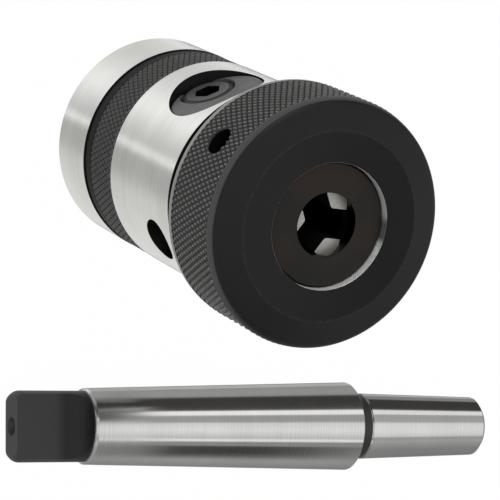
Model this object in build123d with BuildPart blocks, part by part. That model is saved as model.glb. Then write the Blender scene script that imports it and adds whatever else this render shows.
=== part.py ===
from build123d import *
import os
from math import atan, cos, radians, sin, tan

# A tapping head with an overload clutch, and the taper arbor that carries it.
# Millimetres. Z is the head's axis and points out of the nose; Z = 0 is the rear face.
# The round window with the clamp screw faces -Y. Angles are counted from +X.

# Outside form
body_r = 26.75
flange_length = 15.8
ring_length = 16.1
ring_sunk = 0.1
ring_cone_length = 2.7
ring_cone_drop = 0.25
side_gap = 0.1
housing_length = 42.9
housing_relief_length = 10.3
housing_relief = 0.8
edge_break = 0.5
fine_break = 0.3
sleeve_break = 0.1
cap_wall = 3.3
cap_length = 24.1
cap_overlap = 2.9
bevel_drop = 1.7
bevel_width = 7.5
cap_edge_round = 2.5
cap_band = 1.9
cap_band_step = 0.15

# Running and locating clearances, on the radius
run_gap = 0.05
fit_gap = 0.02
thread_gap = 0.1
cap_gap = 0.35
nose_gap = 0.35

# Tapers
b18_gauge_r = 8.89
b18_slope = 0.024975
b18_gauge_offset = 4.4
b18_length = 36.7
socket_depth = 33.0
socket_relief = 1.0
mt3_large_r = 12.03
mt3_slope = 0.0251
mt3_length = 79.0

# Hub and clutch
hub_inset = 11.75
neck_step = 2.5
hub_thread_step = 0.5
spigot_step = 5.15
spigot_length = 2.2
seat_thickness = 3.0
seat_clearance = 0.2
spring_count = 4
spring_thickness = 1.0
spring_cone = 0.5
spring_side_gap = 0.6
spring_width = 4.0
plate_thickness = 2.4
lining_thickness = 1.2
lining_bore_gap = 0.8
groove_count = 8
groove_width = 1.0
web_thickness = 2.6
bush_wall = 1.5
nut_thickness = 2.9
nut_chamber_wall = 2.0
nut_side_gap = 1.0
nut_spanner_hole_r = 1.5
key_width = 4.0
key_height = 3.5
key_sunk = 1.8
hub_end_stand = 0.2

# Chuck body
housing_wall = 4.75
chuck_clearance = 0.6
bore_r = 6.6
mouth_r = 7.75
mouth_depth = 3.0
nose_r = 14.95
nose_recess = 1.9
shoulder_step = 1.35
shoulder_thickness = 1.2
washer_thickness = 1.0
core_r = 9.2
jaw_nut_cover = 4.4
jaw_nut_length = 10.2
split_gap = 0.3

# Tap shank jaws
jaw_angle = 20.0
jaw_r = 3.9
jaw_length = 22.0
jaw_tip_r = 4.35
jaw_setback = 2.8
jaw_land = 0.6
jaw_flank = 60.0
jaw_first = 90.0
jaw_open = 4.2
tooth_pitch = 2.0
tooth_depth = 0.7
tooth_count = 7
tooth_first = 5.0
tooth_arc = 80.0

# Square jaws and their screw
window_r = 12.0
window_station = 19.7
block_sunk = 2.75
block_round = 1.1
half_opening = 3.25
vee_depth = 1.7
screw_below_window = 5.3
screw_r = 4.0
head_r = 6.5
head_height = 8.0
head_pocket_r = 7.1
hex_flats = 6.0
hex_depth = 4.0
screw_reach = 17.0
head_break = 0.9
head_break_rise = 0.6
screw_end_break = 0.8

# Spanner and tommy bar holes
tommy_r = 5.55
tommy_above_window = 3.6
tommy_azimuth = 6.0
tommy_depth = 9.75
cap_hole_r = 3.5
cap_hole_station = 11.0
cap_hole_azimuth = -59.3
cap_hole_depth = 8.4

# Set screws
body_lock_r = 3.0
body_lock_from_end = 6.0
body_lock_azimuth = 135.0
body_lock_length = 8.0
body_lock_sunk = 1.1
body_lock_seat = 0.4
nut_lock_r = 1.0

# Arbor
tang_length = 20.0
tang_step = 0.7
tang_thickness = 7.9
tang_flat_length = 14.0
tang_round = 2.0
tang_run_out = 5.4
arbor_neck_length = 4.3
arbor_neck_r = 8.75
centre_hole_r = 2.5
arbor_centre = (0.8, 83.7)
arbor_azimuth = 154.2
arbor_roll = 18.0

# Radii that follow the body
ring_r = body_r - ring_sunk
cap_r = body_r + cap_gap + cap_wall
bevel_inner_r = cap_r - bevel_width
hub_r = body_r - hub_inset
neck_r = hub_r - neck_step
hub_thread_r = neck_r - hub_thread_step
spigot_r = body_r - spigot_step
spring_outer_r = spigot_r - spring_side_gap
spring_inner_r = spring_outer_r - spring_width
lining_inner_r = neck_r + lining_bore_gap
chuck_r = body_r - housing_wall
nut_chamber_r = chuck_r - nut_chamber_wall
nut_r = nut_chamber_r - nut_side_gap
shoulder_r = body_r - shoulder_step
cap_bore_r = nose_r + nose_gap
jaw_nut_r = cap_r - jaw_nut_cover
block_face_r = body_r - block_sunk
mt3_small_r = mt3_large_r - mt3_length * mt3_slope
tang_r = mt3_small_r - tang_step
b18_shoulder_r = b18_gauge_r + b18_gauge_offset * b18_slope
b18_end_r = b18_shoulder_r - b18_length * b18_slope
block_r = window_r - run_gap
body_lock_inner_r = body_r - body_lock_sunk - body_lock_length

# Stations along the axis
ring_z = flange_length + side_gap
ring_end = ring_z + ring_length
housing_z = ring_end + side_gap
housing_end = housing_z + housing_length
seat_z = flange_length + spigot_length + seat_clearance
spring_height = spring_thickness + spring_cone
spring_z = seat_z + seat_thickness
plate_z = spring_z + spring_count * spring_height
rear_lining_z = plate_z + plate_thickness
web_z = rear_lining_z + lining_thickness
front_lining_z = web_z + web_thickness
clutch_nut_z = front_lining_z + lining_thickness
hub_end = clutch_nut_z + nut_thickness + hub_end_stand
chuck_z = hub_end + chuck_clearance
shoulder_z = housing_end
washer_z = shoulder_z + shoulder_thickness
jaw_nut_z = washer_z + washer_thickness + side_gap
jaw_nut_end = jaw_nut_z + jaw_nut_length
window_z = housing_z + window_station
screw_z = window_z - screw_below_window
tommy_z = window_z + tommy_above_window
body_lock_z = housing_end - body_lock_from_end
relief_z = housing_end - housing_relief_length
cap_z = housing_end - cap_overlap
cap_hole_z = cap_z + cap_hole_station
cap_end = cap_z + cap_length
bevel_z = cap_end - bevel_drop
nose_z = cap_end - nose_recess
jaw_front_z = nose_z - jaw_setback
jaw_rise = tan(radians(jaw_angle))
jaw_axis_nose = mouth_r - run_gap - (jaw_r + run_gap) / cos(radians(jaw_angle))


def jaw_axis_r(z):
    """Distance of a jaw's own axis from the head's axis at this height."""
    return jaw_axis_nose + (nose_z - z) * jaw_rise


def radial(azimuth, z, start=0.0):
    """A plane whose normal points outwards at this angle, at this height and distance."""
    a = radians(azimuth)
    return Plane(
        origin=(start * cos(a), start * sin(a), z),
        x_dir=(-sin(a), cos(a), 0),
        z_dir=(cos(a), sin(a), 0),
    )


def jaw_plane(azimuth, z):
    """A plane square to a jaw's own axis, with its normal towards the nose."""
    a = radians(azimuth)
    t = radians(jaw_angle)
    r = jaw_axis_r(z)
    return Plane(
        origin=(r * cos(a), r * sin(a), z),
        x_dir=(-sin(a), cos(a), 0),
        z_dir=(-sin(t) * cos(a), -sin(t) * sin(a), cos(t)),
    )


def turned(plane, rotation):
    """The same plane, turned about its own axes."""
    return Plane(plane.location * Location((0, 0, 0), rotation))


def save(piece, label):
    piece.part.label = label
    export_step(piece.part, f"parts/{label}.step")


os.makedirs("parts", exist_ok=True)

# Drive hub: the ground rear flange, with the hub that runs forward through the clutch
with BuildPart() as drive_hub:
    with BuildSketch(Plane.XZ):
        with BuildLine():
            Polyline(
                (b18_gauge_r, 0),
                (body_r, 0),
                (body_r, flange_length),
                (spigot_r, flange_length),
                (spigot_r, flange_length + spigot_length),
                (hub_r, flange_length + spigot_length),
                (hub_r, rear_lining_z - side_gap),
                (neck_r, rear_lining_z - side_gap),
                (neck_r, clutch_nut_z - fit_gap),
                (hub_thread_r, clutch_nut_z - fit_gap),
                (hub_thread_r, hub_end),
                (0, hub_end),
                (0, socket_depth + socket_relief),
                (b18_gauge_r - socket_depth * b18_slope, socket_depth + socket_relief),
                (b18_gauge_r - socket_depth * b18_slope, socket_depth),
                close=True,
            )
        make_face()
    revolve(axis=Axis.Z)
    outer_edges = drive_hub.edges().filter_by(GeomType.CIRCLE).filter_by(
        lambda e: abs(e.radius - body_r) < 1e-3
    )
    chamfer(outer_edges.sort_by(Axis.Z)[0], edge_break)
    chamfer(outer_edges.sort_by(Axis.Z)[-1], sleeve_break)
    chamfer(
        drive_hub.edges().filter_by(GeomType.CIRCLE).group_by(Axis.Z)[0].sort_by(SortBy.RADIUS)[0],
        edge_break / 2,
    )
    key_length = rear_lining_z - side_gap - (flange_length + spigot_length)
    with BuildSketch(Plane.XY.offset(rear_lining_z - side_gap)):
        with PolarLocations(hub_r - key_sunk / 2, 2):
            Rectangle(key_sunk, key_width + 2 * fit_gap)
    extrude(amount=-key_length, mode=Mode.SUBTRACT)
save(drive_hub, "drive_hub")

# Two keys that carry the spring seat and the pressure plate round with the hub
with BuildPart() as drive_keys:
    with BuildSketch(Plane.XY.offset(rear_lining_z - 2 * side_gap)):
        with PolarLocations(hub_r - key_sunk + key_height / 2 + fit_gap, 2):
            Rectangle(key_height, key_width)
    extrude(amount=-(key_length - 2 * side_gap))
    chamfer(drive_keys.edges().filter_by(Axis.Z), fine_break)
save(drive_keys, "drive_keys")


def keyed_ring(outer_r, z, thickness):
    """A ring that slides on the hub, notched for the two keys."""
    notch_r = hub_r - key_sunk + key_height + 2 * run_gap
    with BuildPart() as ring:
        with BuildSketch(Plane.XY.offset(z)):
            Circle(outer_r)
        extrude(amount=thickness)
        chamfer(ring.edges().filter_by(GeomType.CIRCLE), edge_break / 2)
        with BuildSketch(Plane.XY.offset(z)):
            Circle(hub_r + run_gap)
            with PolarLocations(notch_r / 2, 2):
                Rectangle(notch_r, key_width + 4 * run_gap)
        extrude(amount=thickness, mode=Mode.SUBTRACT)
    return ring


# Spring seat: a threaded ring that the torque ring drives along the hub
spring_seat = keyed_ring(spigot_r, seat_z, seat_thickness)
save(spring_seat, "spring_seat")

# Four disc springs, stacked nose to tail in two pairs
with BuildPart() as disc_springs:
    for i in range(spring_count):
        foot = spring_z + i * spring_height
        inner_lift = spring_cone if i % 2 else 0
        outer_lift = spring_cone - inner_lift
        with BuildSketch(Plane.XZ):
            with BuildLine():
                Polyline(
                    (spring_inner_r, foot + inner_lift),
                    (spring_outer_r, foot + outer_lift),
                    (spring_outer_r, foot + outer_lift + spring_thickness - fit_gap),
                    (spring_inner_r, foot + inner_lift + spring_thickness - fit_gap),
                    close=True,
                )
            make_face()
        revolve(axis=Axis.Z)
save(disc_springs, "disc_springs")

# Pressure plate between the springs and the rear lining
pressure_plate = keyed_ring(spring_outer_r, plate_z, plate_thickness)
save(pressure_plate, "pressure_plate")


def lining(outer_r, z):
    """A friction lining with oil grooves in the face that rubs on the web."""
    groove_z = z + lining_thickness if z < web_z else z
    with BuildPart() as disc:
        with BuildSketch(Plane.XY.offset(z)):
            Circle(outer_r)
            Circle(lining_inner_r, mode=Mode.SUBTRACT)
        extrude(amount=lining_thickness)
        with BuildSketch(Plane.XY.offset(groove_z)):
            with PolarLocations((outer_r + lining_inner_r) / 2, groove_count):
                Rectangle(outer_r, groove_width)
        extrude(amount=lining_thickness / 4, both=True, mode=Mode.SUBTRACT)
    return disc


friction_disc_rear = lining(spring_outer_r, rear_lining_z)
save(friction_disc_rear, "friction_disc_rear")
friction_disc_front = lining(nut_r + edge_break, front_lining_z)
save(friction_disc_front, "friction_disc_front")

# Hub bush: carries the clutch web on the hub's neck
with BuildPart() as hub_bush:
    with BuildSketch(Plane.XY.offset(web_z)):
        Circle(neck_r + run_gap + bush_wall)
        Circle(neck_r + run_gap, mode=Mode.SUBTRACT)
    extrude(amount=web_thickness)
    chamfer(hub_bush.edges().filter_by(GeomType.CIRCLE), fine_break)
save(hub_bush, "hub_bush")

# Clutch nut: closes the clutch on the hub's thread, with four spanner holes and a lock screw
with BuildPart() as clutch_nut:
    with BuildSketch(Plane.XY.offset(clutch_nut_z)):
        Circle(nut_r)
        Circle(hub_thread_r + fit_gap, mode=Mode.SUBTRACT)
        with PolarLocations((nut_r + hub_thread_r) / 2, 4, start_angle=45):
            Circle(nut_spanner_hole_r, mode=Mode.SUBTRACT)
    extrude(amount=nut_thickness)
    chamfer(clutch_nut.edges().filter_by(GeomType.CIRCLE).sort_by(SortBy.RADIUS)[-2:], fine_break)
    nut_lock_z = clutch_nut_z + nut_thickness / 2
    with BuildSketch(radial(0, nut_lock_z)):
        Circle(nut_lock_r + fit_gap)
    extrude(amount=nut_r + 1, mode=Mode.SUBTRACT)
save(clutch_nut, "clutch_nut")


def set_screw(azimuth, z, inner, length, screw_radius, flats):
    """A headless screw with a hexagon socket in its outer end."""
    with BuildPart() as screw:
        with BuildSketch(radial(azimuth, z, inner)):
            Circle(screw_radius)
        extrude(amount=length)
        chamfer(screw.edges().filter_by(GeomType.CIRCLE), screw_radius / 6)
        with BuildSketch(radial(azimuth, z, inner + length)):
            RegularPolygon(flats / 2, 6, major_radius=False)
        extrude(amount=-length / 3, mode=Mode.SUBTRACT)
    return screw


clutch_nut_screw = set_screw(
    0, nut_lock_z, hub_thread_r + side_gap, nut_r - hub_thread_r - edge_break, nut_lock_r, nut_lock_r
)
save(clutch_nut_screw, "clutch_nut_screw")

# Torque ring: the knurled ring that sets the clutch, turned on the flange and housing spigots
with BuildPart() as torque_ring:
    with BuildSketch(Plane.XZ):
        with BuildLine():
            Polyline(
                (spigot_r + thread_gap, ring_z),
                (ring_r - ring_cone_drop - fine_break, ring_z),
                (ring_r - ring_cone_drop, ring_z + fine_break),
                (ring_r, ring_z + ring_cone_length),
                (ring_r, ring_end - fine_break),
                (ring_r - fine_break, ring_end),
                (spigot_r + thread_gap, ring_end),
                close=True,
            )
        make_face()
    revolve(axis=Axis.Z)
    chamfer(torque_ring.edges().group_by(Axis.Z)[0].sort_by(SortBy.RADIUS)[0], fine_break)
    chamfer(torque_ring.edges().group_by(Axis.Z)[-1].sort_by(SortBy.RADIUS)[0], fine_break)
save(torque_ring, "torque_ring")

# Clutch housing: the ground middle sleeve with the clutch web, the window and the bar holes
with BuildPart() as clutch_housing:
    with BuildSketch(Plane.XZ):
        with BuildLine():
            Polyline(
                (neck_r + run_gap + bush_wall + fit_gap, web_z),
                (spigot_r, web_z),
                (spigot_r, housing_z),
                (body_r, housing_z),
                (body_r, relief_z),
                (body_r - housing_relief, relief_z),
                (body_r - housing_relief, housing_end),
                (chuck_r, housing_end),
                (chuck_r, chuck_z),
                (nut_chamber_r, chuck_z),
                (nut_chamber_r, front_lining_z),
                (neck_r + run_gap + bush_wall + fit_gap, front_lining_z),
                close=True,
            )
        make_face()
    revolve(axis=Axis.Z)
    housing_edges = clutch_housing.edges().filter_by(GeomType.CIRCLE).filter_by(
        lambda e: abs(e.radius - body_r) < 1e-3
    )
    chamfer(housing_edges, sleeve_break)
    with BuildSketch(Plane.XZ):
        with Locations((0, window_z)):
            Circle(window_r)
    extrude(amount=body_r + 1, both=True, mode=Mode.SUBTRACT)
    for side in (0, 180):
        with BuildSketch(radial(tommy_azimuth + side, tommy_z)):
            Circle(tommy_r)
        extrude(amount=body_r + 1, mode=Mode.SUBTRACT)
    with BuildSketch(radial(body_lock_azimuth, body_lock_z)):
        Circle(body_lock_r + fit_gap)
    extrude(amount=body_r + 1, mode=Mode.SUBTRACT)
save(clutch_housing, "clutch_housing")

# Chuck body: fills the housing, holds both sets of jaws and ends in the nose
with BuildPart() as chuck_body:
    with BuildSketch(Plane.XZ):
        with BuildLine():
            Polyline(
                (bore_r, chuck_z),
                (chuck_r - fit_gap, chuck_z),
                (chuck_r - fit_gap, shoulder_z),
                (shoulder_r, shoulder_z),
                (shoulder_r, washer_z),
                (core_r, washer_z),
                (core_r, jaw_nut_end + side_gap),
                (nose_r, jaw_nut_end + side_gap),
                (nose_r, nose_z),
                (mouth_r, nose_z),
                (mouth_r, nose_z - mouth_depth),
                (bore_r, nose_z - mouth_depth - (mouth_r - bore_r)),
                close=True,
            )
        make_face()
    revolve(axis=Axis.Z)
    nose_edge = chuck_body.edges().filter_by(GeomType.CIRCLE).group_by(Axis.Z)[-1]
    chamfer(nose_edge.sort_by(SortBy.RADIUS)[-1], fine_break)
    jaw_hole_length = jaw_length + jaw_open + jaw_r * jaw_rise + run_gap * 4
    for i in range(3):
        with BuildSketch(jaw_plane(jaw_first + 120 * i, jaw_front_z).offset(2 * jaw_setback)):
            Circle(jaw_r + run_gap)
        extrude(amount=-jaw_hole_length - 2 * jaw_setback, mode=Mode.SUBTRACT)
    with BuildSketch(Plane.XZ):
        with Locations((0, window_z)):
            Circle(window_r)
    extrude(amount=chuck_r + 1, both=True, mode=Mode.SUBTRACT)
    for side in (0, 180):
        with BuildSketch(radial(tommy_azimuth + side, tommy_z, body_r - tommy_depth)):
            Circle(tommy_r)
        extrude(amount=tommy_depth, mode=Mode.SUBTRACT)
    with BuildSketch(radial(body_lock_azimuth, body_lock_z, body_lock_inner_r - body_lock_seat)):
        Circle(body_lock_r + fit_gap)
    extrude(amount=body_lock_length, mode=Mode.SUBTRACT)
save(chuck_body, "chuck_body")

body_lock_screw = set_screw(
    body_lock_azimuth,
    body_lock_z,
    body_lock_inner_r,
    body_lock_length,
    body_lock_r,
    body_lock_r,
)
save(body_lock_screw, "body_lock_screw")

# Thrust washer between the housing shoulder and the jaw nut
with BuildPart() as thrust_washer:
    with BuildSketch(Plane.XY.offset(washer_z)):
        Circle(shoulder_r - fit_gap)
        Circle(nose_r + cap_gap, mode=Mode.SUBTRACT)
    extrude(amount=washer_thickness)
save(thrust_washer, "thrust_washer")


def nut_half(azimuth):
    """Half of the jaw nut: a ring with a coned bore that follows the backs of the jaws."""
    reach = (jaw_r + 3 * run_gap) / cos(radians(jaw_angle))
    rear_r = jaw_axis_r(jaw_nut_z) + reach
    front_r = jaw_axis_r(jaw_nut_end) + reach
    with BuildPart() as half:
        with BuildSketch(Plane.XZ):
            with BuildLine():
                Polyline(
                    (rear_r, jaw_nut_z),
                    (jaw_nut_r - fit_gap, jaw_nut_z),
                    (jaw_nut_r - fit_gap, jaw_nut_end),
                    (front_r, jaw_nut_end),
                    close=True,
                )
            make_face()
        revolve(axis=Axis.Z)
        with BuildSketch(radial(azimuth + 180, jaw_nut_z, -split_gap / 2)):
            Rectangle(4 * jaw_nut_r, 4 * jaw_nut_length)
        extrude(amount=2 * jaw_nut_r, mode=Mode.SUBTRACT)
        with BuildSketch(radial(azimuth, cap_hole_z, cap_r - cap_hole_depth)):
            Circle(cap_hole_r)
        extrude(amount=cap_hole_depth, mode=Mode.SUBTRACT)
    return half


jaw_nut_half_1 = nut_half(cap_hole_azimuth)
save(jaw_nut_half_1, "jaw_nut_half_1")
jaw_nut_half_2 = nut_half(cap_hole_azimuth + 180)
save(jaw_nut_half_2, "jaw_nut_half_2")

# Front cap: the knurled hand ring that turns the jaw nut
with BuildPart() as front_cap:
    with BuildSketch(Plane.XZ):
        with BuildLine():
            Polyline(
                (body_r + cap_gap, cap_z),
                (cap_r - cap_band_step - fine_break, cap_z),
                (cap_r - cap_band_step, cap_z + fine_break),
                (cap_r - cap_band_step, cap_z + cap_band),
                (cap_r, cap_z + cap_band),
                (cap_r, bevel_z),
                (bevel_inner_r, cap_end),
                (cap_bore_r, cap_end),
                (cap_bore_r, jaw_nut_end + side_gap),
                (jaw_nut_r, jaw_nut_end + side_gap),
                (jaw_nut_r, washer_z),
                (body_r + cap_gap, washer_z),
                close=True,
            )
        make_face()
    revolve(axis=Axis.Z)
    bevel_edge = front_cap.edges().filter_by(GeomType.CIRCLE).filter_by(
        lambda e: abs(e.radius - cap_r) < 1e-3
    )
    fillet(bevel_edge.sort_by(Axis.Z)[-1], cap_edge_round)
    for side in (0, 180):
        with BuildSketch(radial(cap_hole_azimuth + side, cap_hole_z, cap_r - cap_hole_depth)):
            Circle(cap_hole_r)
        extrude(amount=cap_hole_depth, mode=Mode.SUBTRACT)
save(front_cap, "front_cap")


def shank_jaw(azimuth):
    """A round jaw on a slant: ground to a wedge where it grips, toothed along its back."""
    front = jaw_plane(azimuth, jaw_front_z)
    spread = 3 * jaw_r
    flank_half = jaw_land / 2 + spread * tan(radians(jaw_flank))
    a = radians(azimuth)
    with BuildPart() as jaw:
        with BuildSketch(front.offset(-jaw_length)):
            Circle(jaw_r)
        extrude(amount=jaw_length + 2 * jaw_r * jaw_rise)
        with BuildSketch(Plane.XY.offset(jaw_front_z)):
            Circle(4 * jaw_r)
        extrude(amount=4 * jaw_r, mode=Mode.SUBTRACT)
        with BuildSketch(Plane(origin=(0, 0, 0), x_dir=(cos(a), sin(a), 0), z_dir=(0, 0, 1))):
            with BuildLine():
                Polyline(
                    (jaw_tip_r, -jaw_land / 2),
                    (jaw_tip_r + spread, -flank_half),
                    (jaw_tip_r + 3 * spread, -flank_half),
                    (jaw_tip_r + 3 * spread, flank_half),
                    (jaw_tip_r + spread, flank_half),
                    (jaw_tip_r, jaw_land / 2),
                    close=True,
                )
            make_face()
        extrude(amount=jaw_front_z + 1, mode=Mode.INTERSECT)
        axial = Plane(origin=front.origin, x_dir=-front.y_dir, z_dir=-front.x_dir)
        with BuildSketch(turned(axial, (0, -tooth_arc / 2, 0))):
            for i in range(tooth_count):
                station = -(tooth_first + i * tooth_pitch)
                with BuildLine():
                    Polyline(
                        (jaw_r - tooth_depth, station),
                        (jaw_r + tooth_depth, station + 0.9 * tooth_pitch),
                        (jaw_r + tooth_depth, station - 0.9 * tooth_pitch),
                        close=True,
                    )
                make_face()
        revolve(axis=Axis(front.origin, front.z_dir), revolution_arc=tooth_arc, mode=Mode.SUBTRACT)
    return jaw


for i in range(3):
    save(shank_jaw(jaw_first + 120 * i), f"shank_jaw_{i + 1}")


def square_jaw(towards, tapped):
    """A round block that slides in the cross bore, with a vee for the tap's square."""
    across = Plane(origin=(0, 0, 0), x_dir=(towards, 0, 0), z_dir=(0, -towards, 0))
    vee = Plane.XY.offset(screw_z + screw_r + run_gap * 4)
    with BuildPart() as block:
        with BuildSketch(across.offset(half_opening)):
            with Locations((0, window_z)):
                Circle(block_r)
        extrude(amount=block_face_r - half_opening)
        outer = block.edges().filter_by(GeomType.CIRCLE).sort_by(Axis((0, 0, 0), (0, -towards, 0)))[-1]
        fillet(outer, block_round)
        with BuildSketch(vee):
            with BuildLine():
                Polyline(
                    (-vee_depth, -towards * half_opening),
                    (vee_depth, -towards * half_opening),
                    (0, -towards * (half_opening + vee_depth)),
                    close=True,
                )
            make_face()
        extrude(amount=2 * window_r, mode=Mode.SUBTRACT)
        with BuildSketch(across):
            with Locations((0, screw_z)):
                Circle(screw_r + (fit_gap if tapped else 3 * run_gap))
        extrude(amount=block_face_r, mode=Mode.SUBTRACT)
        if not tapped:
            with BuildSketch(across.offset(block_face_r - head_height)):
                with Locations((0, screw_z)):
                    Circle(head_pocket_r)
            extrude(amount=head_height, mode=Mode.SUBTRACT)
    return block


square_jaw_front = square_jaw(1, tapped=False)
save(square_jaw_front, "square_jaw_front")
square_jaw_rear = square_jaw(-1, tapped=True)
save(square_jaw_rear, "square_jaw_rear")

# Clamp screw: a socket cap screw that draws the two square jaws together
with BuildPart() as clamp_screw:
    front_plane = Plane(origin=(0, 0, 0), x_dir=(1, 0, 0), z_dir=(0, -1, 0))
    with BuildSketch(front_plane.offset(block_face_r - head_height)):
        with Locations((0, screw_z)):
            Circle(head_r)
    extrude(amount=head_height)
    top_edge = clamp_screw.edges().filter_by(GeomType.CIRCLE).sort_by(Axis.Y)[0]
    chamfer(top_edge, head_break_rise, head_break)
    with BuildSketch(front_plane.offset(-screw_reach)):
        with Locations((0, screw_z)):
            Circle(screw_r)
    extrude(amount=block_face_r - head_height + screw_reach)
    chamfer(clamp_screw.edges().filter_by(GeomType.CIRCLE).sort_by(Axis.Y)[-1], screw_end_break)
    with BuildSketch(front_plane.offset(block_face_r)):
        with Locations((0, screw_z)):
            RegularPolygon(hex_flats / 2, 6, major_radius=False)
    extrude(amount=-hex_depth, mode=Mode.SUBTRACT)
save(clamp_screw, "clamp_screw")

# Taper arbor: tang, long taper, neck and short taper, lying on its long taper beside the head
arbor_length = tang_length + mt3_length + arbor_neck_length + b18_length
centre_hole_depth = centre_hole_r * tan(radians(60))
lean = atan(mt3_slope)
bearing = radians(arbor_azimuth)
to_centre = arbor_length / 2 * cos(lean)
bearing_plane = Plane(
    origin=(
        arbor_centre[0] - to_centre * cos(bearing),
        arbor_centre[1] - to_centre * sin(bearing),
        (mt3_small_r - tang_length * mt3_slope) * cos(lean),
    ),
    x_dir=(-sin(bearing), cos(bearing), 0),
    z_dir=(cos(lean) * cos(bearing), cos(lean) * sin(bearing), sin(lean)),
)
lying = turned(bearing_plane, (0, 0, -arbor_roll))
arbor_axis = Axis(lying.origin, lying.z_dir)
across_flats = Plane(origin=lying.origin, x_dir=lying.z_dir, z_dir=lying.x_dir)
with BuildPart() as taper_arbor:
    with BuildSketch(Plane(origin=lying.origin, x_dir=lying.x_dir, z_dir=-lying.y_dir)):
        with BuildLine():
            Polyline(
                (0, centre_hole_depth),
                (centre_hole_r, 0),
                (tang_r, 0),
                (tang_r, tang_length),
                (mt3_small_r, tang_length),
                (mt3_large_r, tang_length + mt3_length),
                (arbor_neck_r, tang_length + mt3_length),
                (arbor_neck_r, arbor_length - b18_length),
                (b18_shoulder_r, arbor_length - b18_length),
                (b18_end_r, arbor_length),
                (centre_hole_r, arbor_length),
                (0, arbor_length - centre_hole_depth),
                close=True,
            )
        make_face()
    revolve(axis=arbor_axis)
    rims = taper_arbor.edges().filter_by(GeomType.CIRCLE)
    fillet(rims.filter_by(lambda e: abs(e.radius - tang_r) < fit_gap).sort_by(arbor_axis)[0], tang_round)
    rims = taper_arbor.edges().filter_by(GeomType.CIRCLE)
    chamfer(rims.filter_by(lambda e: e.radius > mt3_small_r - fit_gap), edge_break)
    rims = taper_arbor.edges().filter_by(GeomType.CIRCLE)
    chamfer(rims.filter_by(lambda e: abs(e.radius - b18_end_r) < fit_gap), 2 * edge_break)
    with BuildSketch(across_flats):
        for up in (1, -1):
            flat = up * tang_thickness / 2
            top = up * (tang_r + tang_run_out)
            with BuildLine():
                Line((-1, flat), (tang_flat_length, flat))
                ThreePointArc(
                    (tang_flat_length, flat),
                    (
                        tang_flat_length + tang_run_out * sin(radians(45)),
                        flat + up * tang_run_out * (1 - cos(radians(45))),
                    ),
                    (tang_flat_length + tang_run_out, flat + up * tang_run_out),
                )
                Line((tang_flat_length + tang_run_out, flat + up * tang_run_out),
                     (tang_flat_length + tang_run_out, top))
                Line((tang_flat_length + tang_run_out, top), (-1, top))
                Line((-1, top), (-1, flat))
            make_face()
    extrude(amount=2 * tang_r, both=True, mode=Mode.SUBTRACT)
save(taper_arbor, "taper_arbor")
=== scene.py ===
"""Finishes for a tapping head and its taper arbor.

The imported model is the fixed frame. The two knurled rings are built here as real
geometry in its place, and every other piece keeps its shape and gets its finish.
Sizes are in millimetres, apart from those of the stage, which are in metres.
"""

import math

import bmesh
import bpy
from mathutils import Matrix, Vector


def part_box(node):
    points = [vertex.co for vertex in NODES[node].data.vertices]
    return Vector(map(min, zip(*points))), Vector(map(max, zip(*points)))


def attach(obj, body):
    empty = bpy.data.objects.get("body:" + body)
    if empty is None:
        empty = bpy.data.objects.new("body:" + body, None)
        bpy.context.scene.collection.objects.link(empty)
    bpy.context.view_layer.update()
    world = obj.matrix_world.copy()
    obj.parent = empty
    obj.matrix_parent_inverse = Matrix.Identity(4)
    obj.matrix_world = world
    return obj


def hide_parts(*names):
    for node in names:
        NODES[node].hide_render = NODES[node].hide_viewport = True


bl_info = {
    "name": "Tapping Head Finish",
    "version": (1, 0, 0),
    "blender": (4, 5, 0),
    "location": "3D View > Sidebar > Tapping Head",
    "description": "Knurled rings, steel finishes and a pale studio for a tapping head",
    "category": "Object",
}

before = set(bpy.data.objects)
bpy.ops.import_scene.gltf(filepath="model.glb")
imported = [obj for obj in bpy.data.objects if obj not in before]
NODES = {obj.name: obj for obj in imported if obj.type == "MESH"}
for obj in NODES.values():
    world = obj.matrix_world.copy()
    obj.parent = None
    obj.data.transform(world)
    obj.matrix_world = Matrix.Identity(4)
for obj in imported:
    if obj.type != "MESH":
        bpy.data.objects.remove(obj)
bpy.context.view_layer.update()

MM = 0.001
SHARP_ANGLE = math.radians(28.0)

# Tints of the light panels
PLAIN = (1.0, 1.0, 0.99)
BROWN = (1.06, 1.0, 0.90)

# Axis of the loose arbor, from its tang to its short taper
ARBOR_LENGTH = 140.0
ARBOR_BEARING = math.radians(154.2)
ARBOR_LEAN = math.atan(0.0251)
ARBOR_CENTRE = Vector((0.8, 83.7))
ARBOR_AXIS = Vector((
    math.cos(ARBOR_LEAN) * math.cos(ARBOR_BEARING),
    math.cos(ARBOR_LEAN) * math.sin(ARBOR_BEARING),
    math.sin(ARBOR_LEAN),
))

# The stage, in metres: where the lamps look, and the camera with its three axes
HEAD_MIDDLE = Vector((0.0, 0.02, 0.04))
CAMERA_PLACE = Vector((0.2382, -0.2544, 0.63598))
CAMERA_RIGHT = Vector((-0.8492, 0.25704, 0.46129))
CAMERA_UP = Vector((-0.40163, -0.88154, -0.24816))
CAMERA_BACK = Vector((0.34286, -0.39601, 0.85184))


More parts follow.
